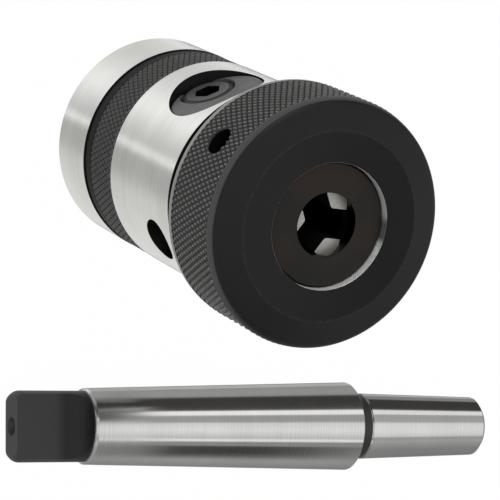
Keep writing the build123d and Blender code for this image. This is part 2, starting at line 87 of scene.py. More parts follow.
class Signal:
    """A shader socket that takes part in Python arithmetic."""

    def __init__(self, recipe, socket):
        self.recipe = recipe
        self.socket = socket

    def _math(self, operation, *values):
        return self.recipe.node(
            "ShaderNodeMath", {"operation": operation}, dict(enumerate(values))
        )

    def __add__(self, other):
        return self._math("ADD", self, other)

    __radd__ = __add__

    def __sub__(self, other):
        return self._math("SUBTRACT", self, other)

    def __rsub__(self, other):
        return self._math("SUBTRACT", other, self)

    def __mul__(self, other):
        return self._math("MULTIPLY", self, other)

    __rmul__ = __mul__

    def __truediv__(self, other):
        return self._math("DIVIDE", self, other)

    def root(self):
        return self._math("SQRT", self)

    def most(self, other):
        return self._math("MAXIMUM", self, other)

    def between(self, low, high):
        """0 below low and 1 above high, with a smooth step between them."""
        return self.recipe.node(
            "ShaderNodeMapRange",
            {"interpolation_type": "SMOOTHSTEP", "clamp": True},
            {"Value": self, "From Min": low, "From Max": high, "To Min": 0.0, "To Max": 1.0},
        )

    def past(self, edge, soft):
        """0 up to an edge and 1 beyond it, with a step of the given width."""
        return self.between(edge, edge + soft)

    def within(self, low, high, soft):
        """1 from low to high and 0 elsewhere, with a step of the given width at each end."""
        return self.past(low, soft) * (1.0 - self.past(high, soft))


class Recipe:
    """The node tree of one material, with one call for each node."""

    def __init__(self, tree):
        self.tree = tree
        tree.nodes.clear()

    def node(self, kind, settings=None, sockets=None, out=0):
        """Adds a node, sets it up, fills or links its sockets, and gives one output."""
        made = self.tree.nodes.new(kind)
        for key, value in (settings or {}).items():
            if key == "stops":
                self._set_stops(made.color_ramp, value)
            else:
                setattr(made, key, value)
        for key, value in (sockets or {}).items():
            if isinstance(value, Signal):
                self.tree.links.new(value.socket, made.inputs[key])
            else:
                made.inputs[key].default_value = value
        return Signal(self, made.outputs[out]) if made.outputs else made

    @staticmethod
    def _set_stops(ramp, stops):
        while len(ramp.elements) < len(stops):
            ramp.elements.new(1.0)
        for element, (position, colour) in zip(ramp.elements, stops):
            element.position = position
            element.color = (*colour, 1.0)

    def place(self):
        """The point's place on its own piece, in millimetres, as x, y and z."""
        metres = self.node("ShaderNodeTexCoord", out="Object")
        scaled = self.node(
            "ShaderNodeVectorMath", {"operation": "SCALE"}, {0: metres, "Scale": 1 / MM}
        )
        return self.split(scaled)

    def split(self, vector):
        return [self.node("ShaderNodeSeparateXYZ", None, {0: vector}, out=i) for i in range(3)]

    def facing(self, x, y, radius):
        """How far the surface faces outwards from the head's axis, from -1 to 1."""
        normal = self.node("ShaderNodeTexCoord", out="Normal")
        outwards = self.vector(x / radius, y / radius, 0.0)
        return self.node(
            "ShaderNodeVectorMath",
            {"operation": "DOT_PRODUCT"},
            {0: normal, 1: outwards},
            out="Value",
        )

    def vector(self, x, y, z):
        return self.node("ShaderNodeCombineXYZ", None, {"X": x, "Y": y, "Z": z})

    def blotch(self, vector, scale, detail=2.0, roughness=0.5):
        return self.node(
            "ShaderNodeTexNoise",
            {"noise_dimensions": "3D"},
            {"Vector": vector, "Scale": scale, "Detail": detail, "Roughness": roughness},
        )

    def stripes(self, value, detail=2.0, roughness=0.5):
        """Noise along one value alone, like the marks of turning."""
        return self.node(
            "ShaderNodeTexNoise",
            {"noise_dimensions": "1D"},
            {"W": value, "Scale": 1.0, "Detail": detail, "Roughness": roughness},
        )

    def blend(self, first, second, share):
        """A colour that goes from the first to the second with the share."""
        def rgba(colour):
            return colour if isinstance(colour, Signal) else (*colour, 1.0)
        return self.node(
            "ShaderNodeMix",
            {"data_type": "RGBA", "clamp_factor": True},
            {0: share, 6: rgba(first), 7: rgba(second)},
            out=2,
        )

    def bump(self, height, depth, strength=1.0):
        sockets = {"Height": height, "Distance": depth * MM, "Strength": strength}
        return self.node("ShaderNodeBump", None, sockets)

    def surface(self, **sockets):
        """Ends the material in one Principled shader."""
        named = {name.replace("_", " "): value for name, value in sockets.items()}
        shader = self.node("ShaderNodeBsdfPrincipled", None, named)
        self.node("ShaderNodeOutputMaterial", None, {"Surface": shader})


def new_material(name):
    material = bpy.data.materials.new(name)
    material.use_nodes = True
    return material, Recipe(material.node_tree)


def toned(colour, factor):
    """A colour made darker or paler by one factor."""
    return tuple(factor * channel for channel in colour)


def grind(recipe, x, y, along, across_scale, along_scale, seed=0.0):
    """Fine lines left by a grinding wheel: long across, short along the piece's axis."""
    stretched = recipe.vector(x * across_scale, y * across_scale, along * along_scale + seed)
    return recipe.blotch(stretched, 1.0, detail=3.0, roughness=0.6)


def coat_node(node, material):
    node_object = NODES[node]
    node_object.data.materials.clear()
    node_object.data.materials.append(material)


# Finishes

# Directions across the cap's axis toward which painted shade darkens the flat face and painted
# highlights pale the bevel and the rim
FACE_SHADE_SIDE = (-0.957, 0.29)
BEVEL_HIGHLIGHT_SIDE = (-0.42, 0.906)
RIM_HIGHLIGHT_SIDE = (0.42, -0.906)


def ground_sleeve(name, settings, outer_r, rear_face=False):
    """Ground on the outside, with painted shade, darker than black oxide, inside its bores, holes
    and window walls.
    """
    material, recipe = new_material(name)
    x, y, z = recipe.place()
    radius = (x * x + y * y).root()
    chamfer = 0.5
    outside = radius.between(outer_r - chamfer - 0.12, outer_r - chamfer)
    # Walls that do not face outwards, such as the window's, take the painted shade too
    outside = outside * recipe.facing(x, y, radius).between(0.75, 0.9)
    if rear_face:
        outside = outside.most(1.0 - z.past(chamfer, 0.05))
    lines = grind(recipe, x, y, z, 0.05, 3.2)
    fine = grind(recipe, x, y, z, 0.12, 9.0, seed=7.0)
    cloud = recipe.blotch(recipe.vector(x, y, z * 2.0), 0.06)
    shade = (lines * 0.5 + fine * 0.3 + cloud * 0.4).between(0.35, 0.85)
    steel = settings.steel_colour
    ground = recipe.blend(toned(steel, 0.80), steel, shade)
    # Bores, holes and window walls take painted shade, darker than the black oxide
    shadow = toned(settings.oxide_colour, 0.35)
    recipe.surface(
        Base_Color=recipe.blend(shadow, ground, outside),
        Metallic=outside * settings.steel_metal,
        Roughness=(0.09 + fine * 0.10) * outside + 0.42 * (1.0 - outside),
        Normal=recipe.bump(lines * 0.6 + fine * 0.4, settings.grind_depth),
    )
    return material


def black_oxide(name, settings, tone=1.4, rough=0.42, turned=True):
    """Blackened steel with a slight mottle, and faint turning marks where it is turned."""
    material, recipe = new_material(name)
    x, y, z = recipe.place()
    cloud = recipe.blotch(recipe.vector(x, y, z), 0.35, detail=4.0)
    grain = recipe.blotch(recipe.vector(x, y, z), 6.0)
    marks = recipe.stripes(((x * x + y * y).root() + z) * 2.2) if turned else cloud
    base = toned(settings.oxide_colour, tone)
    mottle = (cloud * 0.7 + grain * 0.5).between(0.35, 0.85)
    recipe.surface(
        Base_Color=recipe.blend(base, toned(base, 1.5), mottle),
        Metallic=0.25,
        Roughness=rough + grain * 0.10,
        Normal=recipe.bump(grain * 0.5 + marks * 0.5, 0.02, 0.5),
        Specular_IOR_Level=settings.oxide_gloss,
    )
    return material


class KnurledBlack:
    """Black oxide, paler in the knurl, worn bright on the knurl's crests, with painted shade in its
    holes and bores and painted shade and highlights on its front and mouth.
    """

    def __init__(self, name, settings, wear, gloss, knurl_low, knurl_high, root):
        self.material, self.recipe = new_material(name)
        self.settings, self.gloss = settings, gloss
        self.knurl_high, self.root = knurl_high, root
        recipe = self.recipe
        self.x, self.y, self.z = x, y, z = recipe.place()
        self.radius = (x * x + y * y).root()
        self.worn = recipe.blotch(recipe.vector(x, y, z), 0.8, detail=3.0)
        self.grain = recipe.blotch(recipe.vector(x, y, z), 5.0)
        self.base = tuple(settings.oxide_colour)
        crest = recipe.node("ShaderNodeAttribute", {"attribute_name": "crest"}, out="Fac")
        in_knurl = z.within(knurl_low, knurl_high, 0.1)
        # Hole and bore walls within the knurl's length get painted shade, darker than the oxide
        inner_shade = 1.0 - self.radius.between(root - 0.15, root - 0.05)
        tips = crest.between(0.5, 1.0) * in_knurl
        bare = tips * wear * (self.worn.between(0.25, 0.75) * 0.6 + 0.4)
        last_row = tips * z.between(knurl_high - 0.75, knurl_high - 0.65)
        last_row = last_row * self.worn.between(0.35, 0.65) * wear
        self.colour = recipe.blend(self.base, toned(self.base, 1.5), self.grain.between(0.35, 0.75))
        self.paint(settings.groove_colour, in_knurl)
        self.paint(toned(self.base, 0.35), inner_shade * in_knurl)
        self.paint(settings.crest_colour, bare)
        self.paint(settings.edge_colour, last_row)
        self.metal = 0.1 + bare * 0.6
        self.rough = 0.36 + (1.0 - gloss) * 0.2 + self.grain * 0.10

    def paint(self, colour, share):
        self.colour = self.recipe.blend(self.colour, colour, share)

    def toward(self, direction):
        """How far a point lies in a direction from the head's axis, from -1 to 1."""
        return (self.x * direction[0] + self.y * direction[1]) / self.radius

    def face(self, face_r):
        """The front: a flat face with painted shade on one side, a bevel and a rim with painted
        highlights on one side, and a faint painted highlight line at the bevel's inner edge.
        """
        radius, z, knurl_high = self.radius, self.z, self.knurl_high
        past_face = radius.between(face_r - 0.3, face_r + 0.3)
        flat_face = (1.0 - past_face) * z.past(knurl_high + 3.8, 0.1)
        bevel = past_face * z.past(knurl_high + 0.5, 1.0)
        rim = z.past(knurl_high + 0.1, 0.2) * radius.past(self.root - 0.5, 0.4)
        # A faint painted highlight line on the bevel's inner edge, broken up by the wear noise
        bevel_edge_highlight = radius.within(face_r - 0.5, face_r, 0.5) * self.worn.between(0.3, 0.7)
        # Painted shade on the flat face, darker toward one side
        self.paint(toned(self.base, 0.25), flat_face * self.toward(FACE_SHADE_SIDE).between(-0.9, 0.9))
        # Painted highlight on the bevel, paler toward one side
        self.paint(toned(self.base, 2.1), bevel * self.toward(BEVEL_HIGHLIGHT_SIDE).between(0.1, 1.0))
        # Painted highlight on the rim, paler toward one side
        rim_highlight_tone = toned(self.settings.groove_colour, 1.5)
        self.paint(rim_highlight_tone, rim * self.toward(RIM_HIGHLIGHT_SIDE).between(-0.4, 0.5))
        self.paint(self.settings.crest_colour, bevel_edge_highlight * 0.05)

    def rear_band(self, low, high, inner_r):
        """Bare steel behind the knurl."""
        band = self.z.within(low - 0.05, high, 0.05) * self.radius.past(inner_r, 0.2)
        self.paint(self.settings.band_colour, band)
        self.metal = self.metal.most(band * 0.7)

    def bore(self, bore_r):
        """The mouth's wall: steel, with painted shade on one side and a painted highlight on the
        other.
        """
        inside = 1.0 - self.radius.between(bore_r - 0.05, bore_r)
        bright = self.z.between(self.knurl_high + 1.35, self.knurl_high + 1.5) * inside
        side = self.y / self.radius
        steel = tuple(self.settings.arbor_colour)
        # A patch of painted highlight on one side of the steel band, broken up by the wear noise
        mouth_highlight = side.between(0.57, 0.69) * (self.worn.between(0.2, 0.6) * 0.3 + 0.7)
        # Painted shade darkens the steel band on the other side
        steel = self.recipe.blend(steel, toned(steel, 0.25), side.between(0.22, 0.40))
        steel = self.recipe.blend(steel, (0.95, 0.95, 0.94), mouth_highlight)
        self.paint(self.base, inside)
        self.paint(steel, bright)
        self.metal = self.metal * (1.0 - bright) + bright * 0.25
        self.rough = self.rough * (1.0 - bright) + bright * 0.25

    def finish(self):
        self.recipe.surface(
            Base_Color=self.colour,
            Metallic=self.metal,
            Roughness=self.rough,
            Normal=self.recipe.bump(self.grain, 0.02, 0.4),
            Specular_IOR_Level=self.gloss * self.settings.oxide_gloss,
        )
        return self.material


def nose_finish(name, settings, mouth_r):
    """Brown-black nose of the chuck body, with painted shade inside its mouth."""
    material, recipe = new_material(name)
    x, y, z = recipe.place()
    radius = (x * x + y * y).root()
    cloud = recipe.blotch(recipe.vector(x, y, z), 0.07, detail=1.0)
    grain = recipe.blotch(recipe.vector(x, y, z), 4.0)
    rings = recipe.stripes(radius * 2.2)
    # Inside the mouth the colour is painted shade, near black
    mouth_shade = 1.0 - radius.past(mouth_r, 0.05)
    tone = recipe.blend(settings.nose_colour, settings.nose_tint, cloud.between(0.35, 0.65))
    recipe.surface(
        Base_Color=recipe.blend(tone, toned(settings.nose_colour, 0.1), mouth_shade),
        Metallic=0.3 + mouth_shade * 0.7,
        Roughness=0.40 + grain * 0.1,
        Normal=recipe.bump(rings * 0.6 + grain * 0.4, 0.02, 0.5),
        Specular_IOR_Level=0.75 * settings.oxide_gloss,
    )
    return material


def jaw_finish(name, settings, front):
    """Tool steel, ground bright on the jaw's front, with its sides painted the oxide colour as
    shade.
    """
    material, recipe = new_material(name)
    x, y, z = recipe.place()
    lines = recipe.blotch(recipe.vector(x * 0.3, y * 3.0, z), 1.0, detail=3.0)
    grain = recipe.blotch(recipe.vector(x, y, z), 5.0)
    # Only the front shows steel; the sides take the oxide colour as painted shade
    ground = z.between(front - 0.06, front - 0.02)
    steel = settings.jaw_colour
    colour = recipe.blend(toned(steel, 0.8), steel, lines.between(0.35, 0.7))
    recipe.surface(
        Base_Color=recipe.blend(settings.oxide_colour, colour, ground),
        Metallic=0.3 + ground * 0.35,
        Roughness=0.38 + grain * 0.12,
        Normal=recipe.bump(lines * 0.5 + grain * 0.5, 0.01, 0.6),
    )
    return material


def screw_finish(name, settings, axis_z, top_y):
    """Satin socket screw: a turned top with a painted highlight ring, painted shade on its edge and
    a hexagon socket painted near black as shade.
    """
    material, recipe = new_material(name)
    x, y, z = recipe.place()
    off = z - axis_z
    radius = (x * x + off * off).root()
    rings = recipe.stripes(radius * 4.0)
    grain = recipe.blotch(recipe.vector(x, y, z), 5.0)
    ring_r, edge_r, rim_r, socket_r = 4.9, 5.15, 6.3, 3.5
    top = 1.0 - y.between(top_y + 0.02, top_y + 0.08)
    # A ring of painted highlight on the top
    brow_highlight = radius.within(ring_r, edge_r, 0.15) * top
    shoulder = radius.past(edge_r, 0.15)
    # Painted shade on the top's outer edge band
    edge = shoulder * (1.0 - radius.past(rim_r, 0.15))
    # The hexagon socket is painted near black as shade
    socket = (1.0 - radius.past(socket_r, 0.1)) * (1.0 - top)
    base, satin = settings.oxide_colour, settings.screw_colour
    colour = recipe.blend(toned(base, 2.0), toned(satin, 0.55), edge)
    colour = recipe.blend(colour, satin, top * (1.0 - shoulder))
    colour = recipe.blend(colour, toned(satin, 1.9), brow_highlight)
    recipe.surface(
        Base_Color=recipe.blend(colour, toned(base, 0.3), socket),
        Metallic=0.35 + brow_highlight * 0.2,
        Roughness=0.38 + grain * 0.12,
        Normal=recipe.bump(rings * 0.6 + grain * 0.4, 0.02, 0.6),
        Specular_IOR_Level=settings.oxide_gloss,
    )
    return material


def turned_metal(name, colour, rough):
    """Turned or ground metal with lines round the head's axis."""
    material, recipe = new_material(name)
    x, y, z = recipe.place()
    marks = grind(recipe, x, y, z, 0.08, 1.6)
    rings = recipe.stripes((x * x + y * y).root() * 2.5)
    shade = (marks * 0.6 + rings * 0.4).between(0.3, 0.75)
    recipe.surface(
        Base_Color=recipe.blend(toned(colour, 0.72), colour, shade),
        Metallic=1.0,
        Roughness=rough + marks * 0.12,
        Normal=recipe.bump(marks * 0.5 + rings * 0.5, 0.01, 0.6),
    )
    return material


def lining_grit(name, colour):
    """Pressed friction material: brown-black with light flecks."""
    material, recipe = new_material(name)
    x, y, z = recipe.place()
    fleck = recipe.blotch(recipe.vector(x, y, z), 2.5, detail=4.0, roughness=0.7)
    recipe.surface(
        Base_Color=recipe.blend(colour, toned(colour, 2.8), fleck.between(0.56, 0.68)),
        Roughness=0.85,
        Normal=recipe.bump(fleck, 0.05, 0.6),
    )
    return material


def arbor_finish(name, settings):
    """Bright ground tapers, with the tang and the neck left black."""
    material, recipe = new_material(name)
    x, y, z = recipe.place()
    station = (
        (x - ARBOR_CENTRE.x) * ARBOR_AXIS.x + (y - ARBOR_CENTRE.y) * ARBOR_AXIS.y
        + z * ARBOR_AXIS.z + ARBOR_LENGTH / 2
    )
    tang = 1.0 - station.past(20.0, 0.25)
    neck = station.past(98.9, 0.2) * (1.0 - station.past(103.2, 0.15))
    dark = tang.most(neck)
    # The concave run-out at the tang gets painted shade, darker than the oxide
    run_out_shade = station.between(10.5, 14.2) * tang
    handled = 1.0 - station.between(26.0, 46.0)
    lines = recipe.stripes(station * 3.0, detail=3.0, roughness=0.6)
    cloud = recipe.blotch(recipe.vector(x, y, z), 0.12)
    grain = recipe.blotch(recipe.vector(x, y, z), 5.0)
    bright = settings.arbor_colour
    shade = (lines * 0.7 + cloud * 0.5).between(0.35, 0.8)
    ground = recipe.blend(toned(bright, 0.88), bright, shade)
    oxide = toned(settings.oxide_colour, 5.4)
    black = recipe.blend(oxide, toned(oxide, 0.25), run_out_shade * 0.8)
    ground_rough = 0.06 + lines * 0.07 + handled * 0.13
    recipe.surface(
        Base_Color=recipe.blend(ground, black, dark),
        Metallic=1.0 - dark * 0.75,
        Roughness=ground_rough * (1.0 - dark) + (0.42 + grain * 0.1) * dark,
        Normal=recipe.bump(lines * (1.0 - dark) + grain * dark, settings.arbor_line_depth),
        Specular_Tint=(0.6, 0.6, 0.6, 1.0),
    )
    return material


# Knurled rings

def link_mesh(name, mesh):
    """Turns a finished bmesh into an object of the scene."""
    data = bpy.data.meshes.new(name)
    mesh.to_mesh(data)
    mesh.free()
    made = bpy.data.objects.new(name, data)
    bpy.context.scene.collection.objects.link(made)
    return made


class Lathe:
    """A closed mesh of rings round the Z axis, in millimetres until it is finished."""

    def __init__(self, around):
        self.mesh = bmesh.new()
        self.crest = self.mesh.verts.layers.float.new("crest")
        self.around = around

    def vert(self, radius, turns, z, crest=0.0):
        """A point, with its turn round the axis counted in diamonds."""
        angle = 2 * math.pi * turns / self.around
        made = self.mesh.verts.new(
            (radius * math.cos(angle) * MM, radius * math.sin(angle) * MM, z * MM)
        )
        made[self.crest] = crest
        return made

    def ring(self, radius, z, flat, shift):
        """A plain ring whose points line up with the knurl's own."""
        ring = []
        for cell in range(self.around):
            start = cell + shift
            for turns in (start, start + 0.5 - flat / 2, start + 0.5 + flat / 2):
                ring.append(self.vert(radius, turns, z))
        return ring

    def bridge(self, lower, upper):
        for i in range(len(lower)):
            j = (i + 1) % len(lower)
            self.mesh.faces.new((lower[i], lower[j], upper[j], upper[i]))

    def knurl(self, radius, depth, low, high, rows, flat, slant):
        """A band of diamonds between crossing grooves. Gives its first and last ring."""
        root, step, cells = radius - depth, (high - low) / rows, self.around
        crossings = [
            [self.vert(root, i + (k % 2) / 2, low + k * step) for i in range(cells)]
            for k in range(rows + 1)
        ]
        edges = {0: [], rows: []}
        for k in range(rows + 1):
            shift, z = (k % 2) / 2, low + k * step
            edge = k in edges
            rise = 0.0 if edge else -slant * step
            for i in range(cells):
                middle = i + shift + 0.5
                left, right = crossings[k][i], crossings[k][(i + 1) % cells]
                west = self.vert(radius, middle - flat / 2, z - rise, 1.0)
                east = self.vert(radius, middle + flat / 2, z + rise, 1.0)
                crown = None if edge else self.vert(radius, middle, z, 1.0)
                beside = (i + k % 2) % cells
                for side, limit in ((-1, 0), (1, rows)):
                    if k == limit:
                        continue
                    point = crossings[k + side][beside]
                    tip = self.vert(
                        radius, middle - side * slant / 2, z + side * flat * step, 1.0
                    )
                    self.face(side, (left, point, tip, west))
                    self.face(side, (point, right, east, tip))
                    if edge:
                        self.face(side, (west, tip, east))
                    else:
                        self.face(side, (west, tip, crown))
                        self.face(side, (tip, east, crown))
                if edge:
                    edges[k] += [left, west, east]
        return edges[0], edges[rows]

    def face(self, side, verts):
        self.mesh.faces.new(verts if side < 0 else tuple(reversed(verts)))

    def finish(self, name, material):
        bmesh.ops.recalc_face_normals(self.mesh, faces=self.mesh.faces)
        made = link_mesh(name, self.mesh)
        made.data.materials.append(material)
        made.data.shade_smooth()
        made.data.set_sharp_from_angle(angle=SHARP_ANGLE)
        return made


def lathe_body(around, before, knurl, after):
    """Joins plain rings, rear to front to bore, with the knurled band among them."""
    lathe = Lathe(around)
    rear, front = lathe.knurl(**knurl)
    shift = (knurl["rows"] % 2) / 2
    behind = [lathe.ring(r, z, knurl["flat"], 0.0) for r, z in before]
    ahead = [lathe.ring(r, z, knurl["flat"], shift) for r, z in after]
    for chain in (behind + [rear], [front] + ahead):
        for lower, upper in zip(chain, chain[1:]):
            lathe.bridge(lower, upper)
    lathe.bridge(ahead[-1], behind[0])
    return lathe


def arc(centre_r, centre_z, radius, end, steps):
    """Points of a rounded edge, from the side to an angle above it, in degrees."""
    angles = [math.radians(end) * i / steps for i in range(steps + 1)]
    return [
        (centre_r + radius * math.cos(angle), centre_z + radius * math.sin(angle))
        for angle in angles
    ]


def drill(piece, radius, azimuth, z, inner, outer):
    """Cuts a radial hole through a finished ring."""
    length = outer - inner
    bearing = math.radians(azimuth)
    outwards = Vector((math.cos(bearing), math.sin(bearing), 0))
    middle = outwards * (inner + length / 2) * MM
    middle.z = z * MM
    turn = outwards.to_track_quat("Z", "Y").to_matrix().to_4x4()
    mesh = bmesh.new()
    bmesh.ops.create_cone(
        mesh, cap_ends=True, segments=64,
        radius1=radius * MM, radius2=radius * MM, depth=length * MM,
        matrix=Matrix.Translation(middle) @ turn,
    )
    cutter = link_mesh("drill", mesh)
    cut = piece.modifiers.new("hole", "BOOLEAN")
    cut.operation = "DIFFERENCE"
    cut.solver = "EXACT"
    cut.object = cutter
    bpy.context.view_layer.update()
    evaluated = piece.evaluated_get(bpy.context.evaluated_depsgraph_get())
    result = bpy.data.meshes.new_from_object(evaluated)
    piece.modifiers.remove(cut)
    piece.data = result
    bpy.data.objects.remove(cutter)


# Settings

def millimetres(name, description, default, low=0.0, high=500.0):
    return bpy.props.FloatProperty(
        name=name, description=description, default=default, min=low, max=high, precision=3
    )


def diamonds(name, description, default):
    return bpy.props.IntProperty(
        name=name, description=description, default=default, min=24, max=240
    )


def colour(name, description, default):
    return bpy.props.FloatVectorProperty(
        name=name, description=description, default=default,
        subtype="COLOR", size=3, min=0.0, max=1.0,
    )


def share(name, description, default):
    return bpy.props.FloatProperty(
        name=name, description=description, default=default, min=0.0, max=1.0, subtype="FACTOR"
    )


def outer_radius(node):
    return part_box(node)[1].x / MM


class KnurlSettings(bpy.types.PropertyGroup):
    """Sizes of the two knurled rings, in millimetres."""

    cap_radius: millimetres(
        "Cap Radius", "Radius over the cap's knurl, mm", outer_radius("front_cap")
    )
    cap_cells: diamonds("Cap Diamonds", "Diamonds round the cap", 120)
    ring_radius: millimetres(
        "Ring Radius", "Radius over the ring's knurl, mm", outer_radius("torque_ring")
    )
    ring_cells: diamonds("Ring Diamonds", "Diamonds round the torque ring", 108)
    depth: millimetres("Knurl Depth", "Depth of the grooves, mm", 0.4, 0.05, 1.0)
    flat: share("Crest Width", "Width of a cap crest as a share of its diamond", 0.42)
    slant: share("Crest Slant", "How far a cap crest leans along one set of grooves", 0.13)
    ring_depth: millimetres(
        "Ring Knurl Depth", "Depth of the ring's grooves, mm", 0.2, 0.05, 1.0
    )
    ring_flat: share(
        "Ring Crest Width", "Width of a ring crest as a share of its diamond", 0.78
    )


class FinishSettings(bpy.types.PropertyGroup):
    """Colours and surface marks."""

    steel_colour: colour("Ground Steel", "Colour of the ground sleeves", (0.72, 0.716, 0.695))
    steel_metal: share("Sleeve Metal", "How metallic the ground sleeves look", 1.0)
    arbor_colour: colour("Arbor Steel", "Colour of the bright tapers", (0.62, 0.62, 0.615))
    oxide_colour: colour("Black Oxide", "Colour of the blackened pieces", (0.007, 0.007, 0.0072))
    oxide_gloss: share("Oxide Gloss", "Strength of the blackened pieces' gloss", 0.3)
    groove_colour: colour("Knurl Groove", "Colour of the knurl's grooves", (0.050, 0.050, 0.050))
    crest_colour: colour("Worn Crest", "Colour of the knurl's worn crests", (0.23, 0.23, 0.226))
    edge_colour: colour(
        "Knurl Edge", "Colour of the crests along the front edge", (0.40, 0.40, 0.39)
    )
    crest_wear: share("Crest Wear", "How far the crests are worn bright", 0.85)
    band_colour: colour("Bare Band", "Colour of the cap's bare rear band", (0.36, 0.36, 0.355))
    jaw_colour: colour("Jaw Steel", "Colour of the shank jaws", (0.46, 0.455, 0.42))
    screw_colour: colour("Clamp Screw", "Colour of the clamp screw's head", (0.10, 0.10, 0.098))
    nose_colour: colour("Nose", "Colour of the chuck body's nose", (0.013, 0.0125, 0.0115))
    nose_tint: colour("Nose Tint", "Brown that the nose takes in patches", (0.022, 0.0155, 0.012))
    grind_depth: millimetres(
        "Grinding Depth", "Depth of the sleeves' grinding lines, mm", 0.03
    )
    arbor_line_depth: millimetres(
        "Arbor Lines", "Depth of the arbor's grinding lines, mm", 0.001
    )


class StageSettings(bpy.types.PropertyGroup):
    """Floor, lamps and camera."""

    floor_size: bpy.props.FloatProperty(
        name="Floor Size", description="Width of the pale floor",
        default=6.0, min=1.0, unit="LENGTH",
    )
    key_power: bpy.props.FloatProperty(
        name="Key Lamp", description="Power of the large soft lamp",
        default=2.4, min=0.0, unit="POWER",
    )
    fill_power: bpy.props.FloatProperty(
        name="Fill Lamp", description="Power of the lamp on the other side",
        default=0.8, min=0.0, unit="POWER",
    )
    lens: bpy.props.FloatProperty(
        name="Lens", description="Focal length of the camera, mm",
        default=198.86, min=10.0, unit="CAMERA",
    )


class TAPPING_OT_front_cap(bpy.types.Operator):
    """Build the knurled front cap, with its bare rear band and two spanner holes"""

    bl_idname = "tapping_head.front_cap"
    bl_label = "Front Cap"

    def execute(self, context):
        sizes, finishes = context.scene.tapping_knurl, context.scene.tapping_finish
        low, high = (corner.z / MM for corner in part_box("front_cap"))
        radius, root = sizes.cap_radius, sizes.cap_radius - sizes.depth
        knurl_low, knurl_high = low + 1.9, high - 4.2
        band_r, rim_r, face_r = radius - 0.15, radius - 0.12, radius - 7.5
        lip_r, bore_r, chamber_r = 27.1, 15.3, 26.0
        bevel_z, chamber_top, lip_z = high - 1.7, high - 8.6, low + 3.6
        slope = math.atan2(high - bevel_z, radius - face_r)
        round_r = 2.6
        reach = round_r * math.tan((math.pi / 2 - slope) / 2)
        crown = arc(rim_r - round_r, bevel_z - reach, round_r, 90.0 - math.degrees(slope), 10)
        behind = [
            (lip_r, low), (band_r - 0.3, low), (band_r, low + 0.3), (band_r, knurl_low - 0.25),
        ]
        ahead = crown + [
            (face_r + 0.4, high - 0.4 * math.tan(slope)),
            (face_r, high - 0.02),
            (face_r - 0.3, high),
            (bore_r + 0.25, high),
            (bore_r, high - 0.25),
            (bore_r, chamber_top),
            (chamber_r, chamber_top),
            (chamber_r, lip_z),
            (lip_r, lip_z),
        ]
        knurl = {
            "radius": radius, "depth": sizes.depth, "low": knurl_low, "high": knurl_high,
            "rows": 13, "flat": sizes.flat, "slant": sizes.slant,
        }
        coat = KnurledBlack(
            "cap_black", finishes, wear=finishes.crest_wear, gloss=0.75,
            knurl_low=knurl_low, knurl_high=knurl_high, root=root,
        )
        coat.face(face_r)
        coat.rear_band(low - 0.5, knurl_low - 0.3, root - 1.0)
        coat.bore(bore_r + 0.06)
        body = lathe_body(sizes.cap_cells, behind, knurl, ahead)
        cap = body.finish("knurled_cap", coat.finish())
        hole_r, hole_z = 3.5, low + 11.0
        for azimuth in (-59.3, 120.7):
            drill(cap, hole_r, azimuth, hole_z, inner=22.0, outer=radius + 2.0)
        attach(cap, "cap")
        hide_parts("front_cap")
        return {"FINISHED"}


class TAPPING_OT_torque_ring(bpy.types.Operator):
    """Build the knurled torque ring with its plain rear band"""

    bl_idname = "tapping_head.torque_ring"
    bl_label = "Torque Ring"

    def execute(self, context):
        sizes, finishes = context.scene.tapping_knurl, context.scene.tapping_finish
        low, high = (corner.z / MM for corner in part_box("torque_ring"))
        radius, root = sizes.ring_radius, sizes.ring_radius - sizes.ring_depth
        knurl_low, knurl_high = low + 4.2, high - 0.35
        bore_r = 21.7
        behind = [
            (bore_r + 0.3, low), (radius - 0.55, low), (radius - 0.25, low + 0.3),
            (radius, low + 2.9), (radius, knurl_low - 0.25),
        ]
        ahead = [
            (radius - 0.4, high), (bore_r + 0.3, high), (bore_r, high - 0.3), (bore_r, low + 0.3),
        ]
        knurl = {
            "radius": radius, "depth": sizes.ring_depth, "low": knurl_low, "high": knurl_high,
            "rows": 8, "flat": sizes.ring_flat, "slant": 0.0,
        }
        coat = KnurledBlack(
            "ring_black", finishes, wear=0.22, gloss=0.3,
            knurl_low=knurl_low, knurl_high=knurl_high, root=root,
        )
        body = lathe_body(sizes.ring_cells, behind, knurl, ahead)
        ring = body.finish("knurled_ring", coat.finish())
        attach(ring, "torque_ring")
        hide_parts("torque_ring")
        return {"FINISHED"}


class TAPPING_OT_sleeves(bpy.types.Operator):
    """Finish the two ground sleeves: the rear flange and the clutch housing"""

    bl_idname = "tapping_head.sleeves"
    bl_label = "Ground Sleeves"

    def execute(self, context):
        finishes = context.scene.tapping_finish
        outer_r = outer_radius("clutch_housing")
        coat_node("clutch_housing", ground_sleeve("sleeve_ground", finishes, outer_r))
        coat_node("drive_hub", ground_sleeve("flange_ground", finishes, outer_r, rear_face=True))
        return {"FINISHED"}


class TAPPING_OT_chuck(bpy.types.Operator):
    """Finish the chuck body, its jaws and the window's clamp screw"""

    bl_idname = "tapping_head.chuck"
    bl_label = "Chuck and Jaws"

    def execute(self, context):
        finishes = context.scene.tapping_finish
        mouth_r = 7.8
        coat_node("chuck_body", nose_finish("nose_brown_black", finishes, mouth_r))
        for i in (1, 2, 3):
            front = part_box(f"shank_jaw_{i}")[1].z / MM
            coat_node(f"shank_jaw_{i}", jaw_finish(f"jaw_{i}_steel", finishes, front))
        block = black_oxide("block_satin", finishes, tone=16.5, rough=0.46, turned=False)
        coat_node("square_jaw_front", block)
        coat_node("square_jaw_rear", block)
        low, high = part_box("clamp_screw")
        axis_z, top_y = (low.z + high.z) / 2 / MM, low.y / MM
        coat_node("clamp_screw", screw_finish("screw_satin", finishes, axis_z, top_y))
        coat_node("body_lock_screw", black_oxide("lock_screw_black", finishes))
        return {"FINISHED"}


